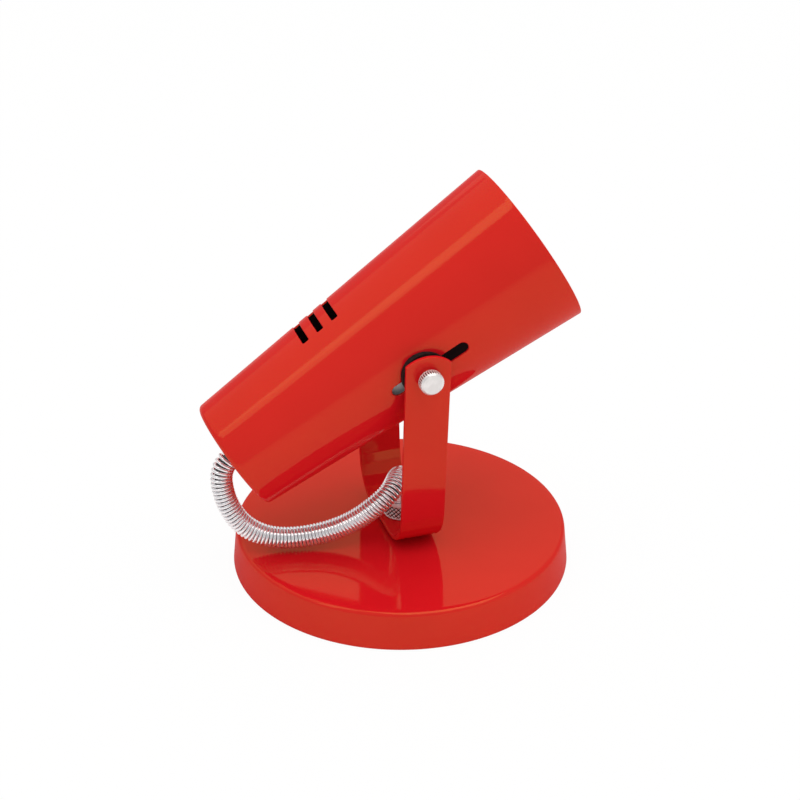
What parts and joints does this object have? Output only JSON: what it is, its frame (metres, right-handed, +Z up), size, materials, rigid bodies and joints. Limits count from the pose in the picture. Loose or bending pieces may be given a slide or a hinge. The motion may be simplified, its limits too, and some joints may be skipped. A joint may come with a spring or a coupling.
{
  "type": "tabletop spot lamp",
  "caption": "Small tabletop spot lamp: tapered metal head tilting in a U bracket on a round weighted foot, fed by a bright spring conduit.",
  "frame": {"origin": "centre of the foot's underside, on the table", "axes": "+X the way the head points, +Y along the tilt axis, +Z up"},
  "size_m": [0.1408, 0.1309, 0.1512],
  "materials": {
    "red_enamel": "gloss",
    "cast_iron": "rough",
    "zinc_steel": "satin",
    "zinc_screw": "satin",
    "foam": "matte",
    "black_rubber": "matte",
    "black_fibre": "matte",
    "nylon": "satin",
    "plated_brass": "satin",
    "knurled_steel": "satin",
    "chrome_wire": "polished",
    "grey_flex": "satin",
    "porcelain": "gloss",
    "brass": "satin"
  },
  "bodies": {
    "base": {"base_shell": "red_enamel", "ballast_weight": "cast_iron", "bottom_cover": "zinc_steel", "foot_pad": "foam", "cover_screws": "zinc_screw", "cable_grommet": "black_rubber", "terminal_block": "nylon", "terminal_screws": "zinc_screw", "hollow_stem": "plated_brass", "lock_washer": "zinc_steel", "lock_nut": "plated_brass", "swivel_spacer": "black_fibre", "base_lead": "grey_flex"},
    "bracket_arm": {"bracket": "red_enamel", "base_ferrule": "knurled_steel", "spring_conduit": "chrome_wire", "head_lead": "grey_flex"},
    "carrier": {"lampholder_carrier": "zinc_steel", "holder_nipple": "plated_brass", "head_ferrule": "knurled_steel", "lampholder_body": "porcelain", "screw_shell": "brass", "centre_contact": "brass", "contact_screws": "brass", "inner_washers": "zinc_steel", "clamp_nuts": "zinc_screw", "friction_washers": "black_fibre"},
    "shade_can": {"shade": "red_enamel"},
    "left_screw": {"thumb_screw_left": "knurled_steel"},
    "right_screw": {"thumb_screw_right": "knurled_steel"}
  },
  "joints": [
    {"name": "swivel", "type": "hinge", "parent": "base", "child": "bracket_arm", "pos_m": [0, 0, 0.016], "axis": [0, 0, 1], "range_deg": [-170, 170]},
    {"name": "tilt", "type": "hinge", "parent": "bracket_arm", "child": "carrier", "pos_m": [0, 0, 0.0911], "axis": [0, 1, 0], "range_deg": [-18, 40], "deforming": ["spring_conduit", "head_lead"]},
    {"name": "shade_slide", "type": "slide", "parent": "carrier", "child": "shade_can", "axis": [0.8526, 0, 0.5225], "range_m": [-0.0015, 0.0085]},
    {"name": "left_screw_turn", "type": "hinge", "parent": "carrier", "child": "left_screw", "pos_m": [0, -0.03, 0.0911], "axis": [0, -1, 0], "range_deg": [0, 360]},
    {"name": "right_screw_turn", "type": "hinge", "parent": "carrier", "child": "right_screw", "pos_m": [0, 0.03, 0.0911], "axis": [0, 1, 0], "range_deg": [0, 360]}
  ]
}
